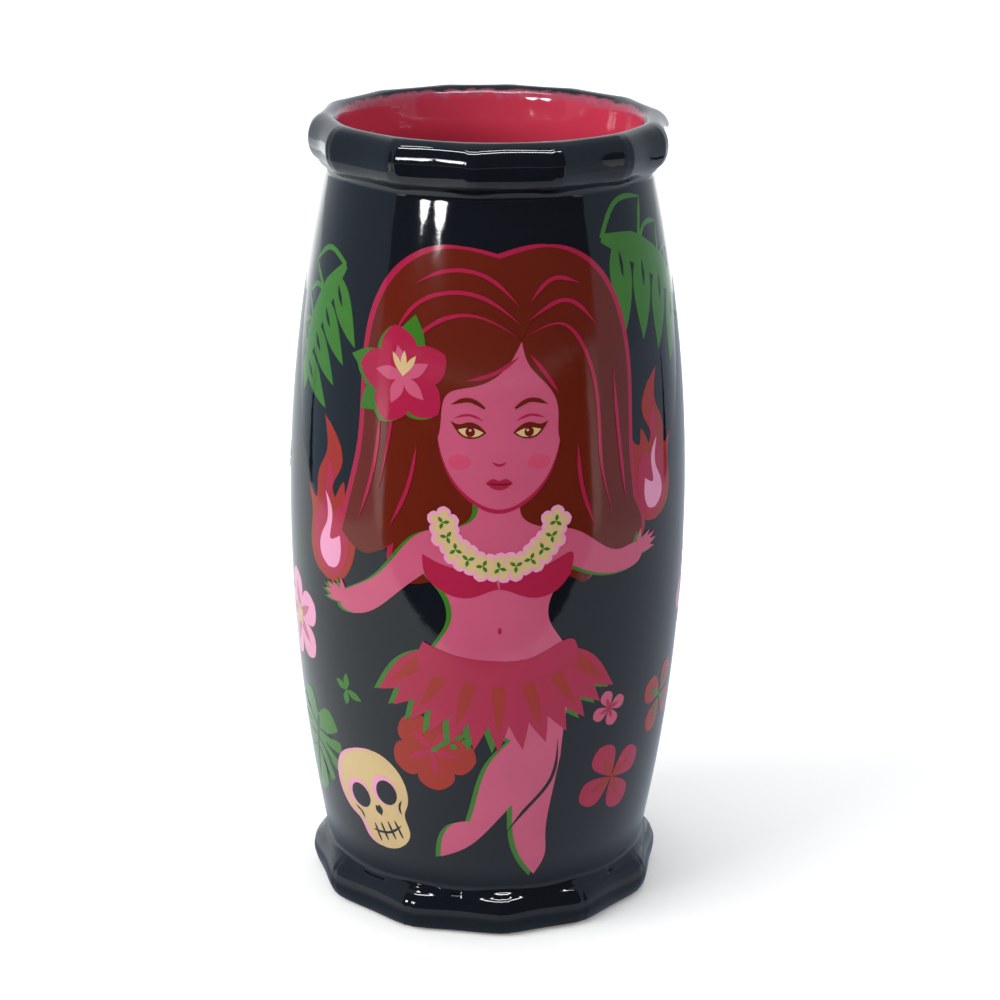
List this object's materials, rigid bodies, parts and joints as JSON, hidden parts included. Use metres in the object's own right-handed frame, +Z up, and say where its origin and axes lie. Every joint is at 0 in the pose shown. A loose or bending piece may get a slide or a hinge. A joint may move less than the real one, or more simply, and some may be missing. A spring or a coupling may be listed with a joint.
{
  "type": "tiki mug",
  "caption": "Tall barrel-shaped ceramic drinking mug with a bamboo ring at the lip and foot, and fired-on tropical enamel artwork.",
  "frame": {"origin": "centre of the foot, on the surface the mug stands on", "axes": "+Z up along the mug's axis, -Y towards the side with the dancer, +X to that side's right"},
  "size_m": [0.0851, 0.0851, 0.17],
  "materials": {
    "clay": "bare fired stoneware, fine and matt",
    "dark_glaze": "near-black navy glaze, high gloss, thinning to grey-blue on edges",
    "rose_glaze": "rose pink glaze, high gloss, faintly mottled",
    "enamel_brown": "fired-on overglaze enamel, glossy",
    "enamel_rose": "fired-on overglaze enamel, glossy",
    "enamel_magenta": "fired-on overglaze enamel, glossy",
    "enamel_red": "fired-on overglaze enamel, glossy",
    "enamel_green": "fired-on overglaze enamel, glossy",
    "enamel_cream": "fired-on overglaze enamel, glossy",
    "enamel_pale_pink": "fired-on overglaze enamel, glossy"
  },
  "bodies": {
    "root": {"clay_body": "clay", "outer_glaze": "dark_glaze", "inner_glaze": "rose_glaze", "base_glaze": "dark_glaze", "dancer_hair": "enamel_brown", "dancer_figure": "enamel_rose", "dancer_skirt": "enamel_magenta", "dancer_bandeau": "enamel_magenta", "dancer_lei": "enamel_cream", "dancer_hair_flower": "enamel_magenta", "skull": "enamel_cream", "hibiscus_front": "enamel_red", "flame_left": "enamel_red", "flame_right": "enamel_red", "palm_frond_right": "enamel_green", "palm_frond_left": "enamel_green", "plumeria_left": "enamel_pale_pink", "monstera_left": "enamel_green", "sprig_left": "enamel_green", "blossom_pink": "enamel_pale_pink", "blossom_magenta": "enamel_magenta", "blossom_red": "enamel_red", "plumeria_right": "enamel_pale_pink", "monstera_right": "enamel_green", "palm_frond_back_right": "enamel_green", "blossom_back_right": "enamel_red", "hibiscus_back": "enamel_magenta", "sprig_back_high": "enamel_green", "monstera_back": "enamel_green", "plumeria_back": "enamel_pale_pink", "blossom_back_low": "enamel_magenta", "palm_frond_back_left": "enamel_green", "flame_back": "enamel_red", "hibiscus_back_left": "enamel_red", "monstera_back_left": "enamel_green", "sprig_back_left": "enamel_green", "blossom_back_left": "enamel_pale_pink"}
  },
  "joints": []
}
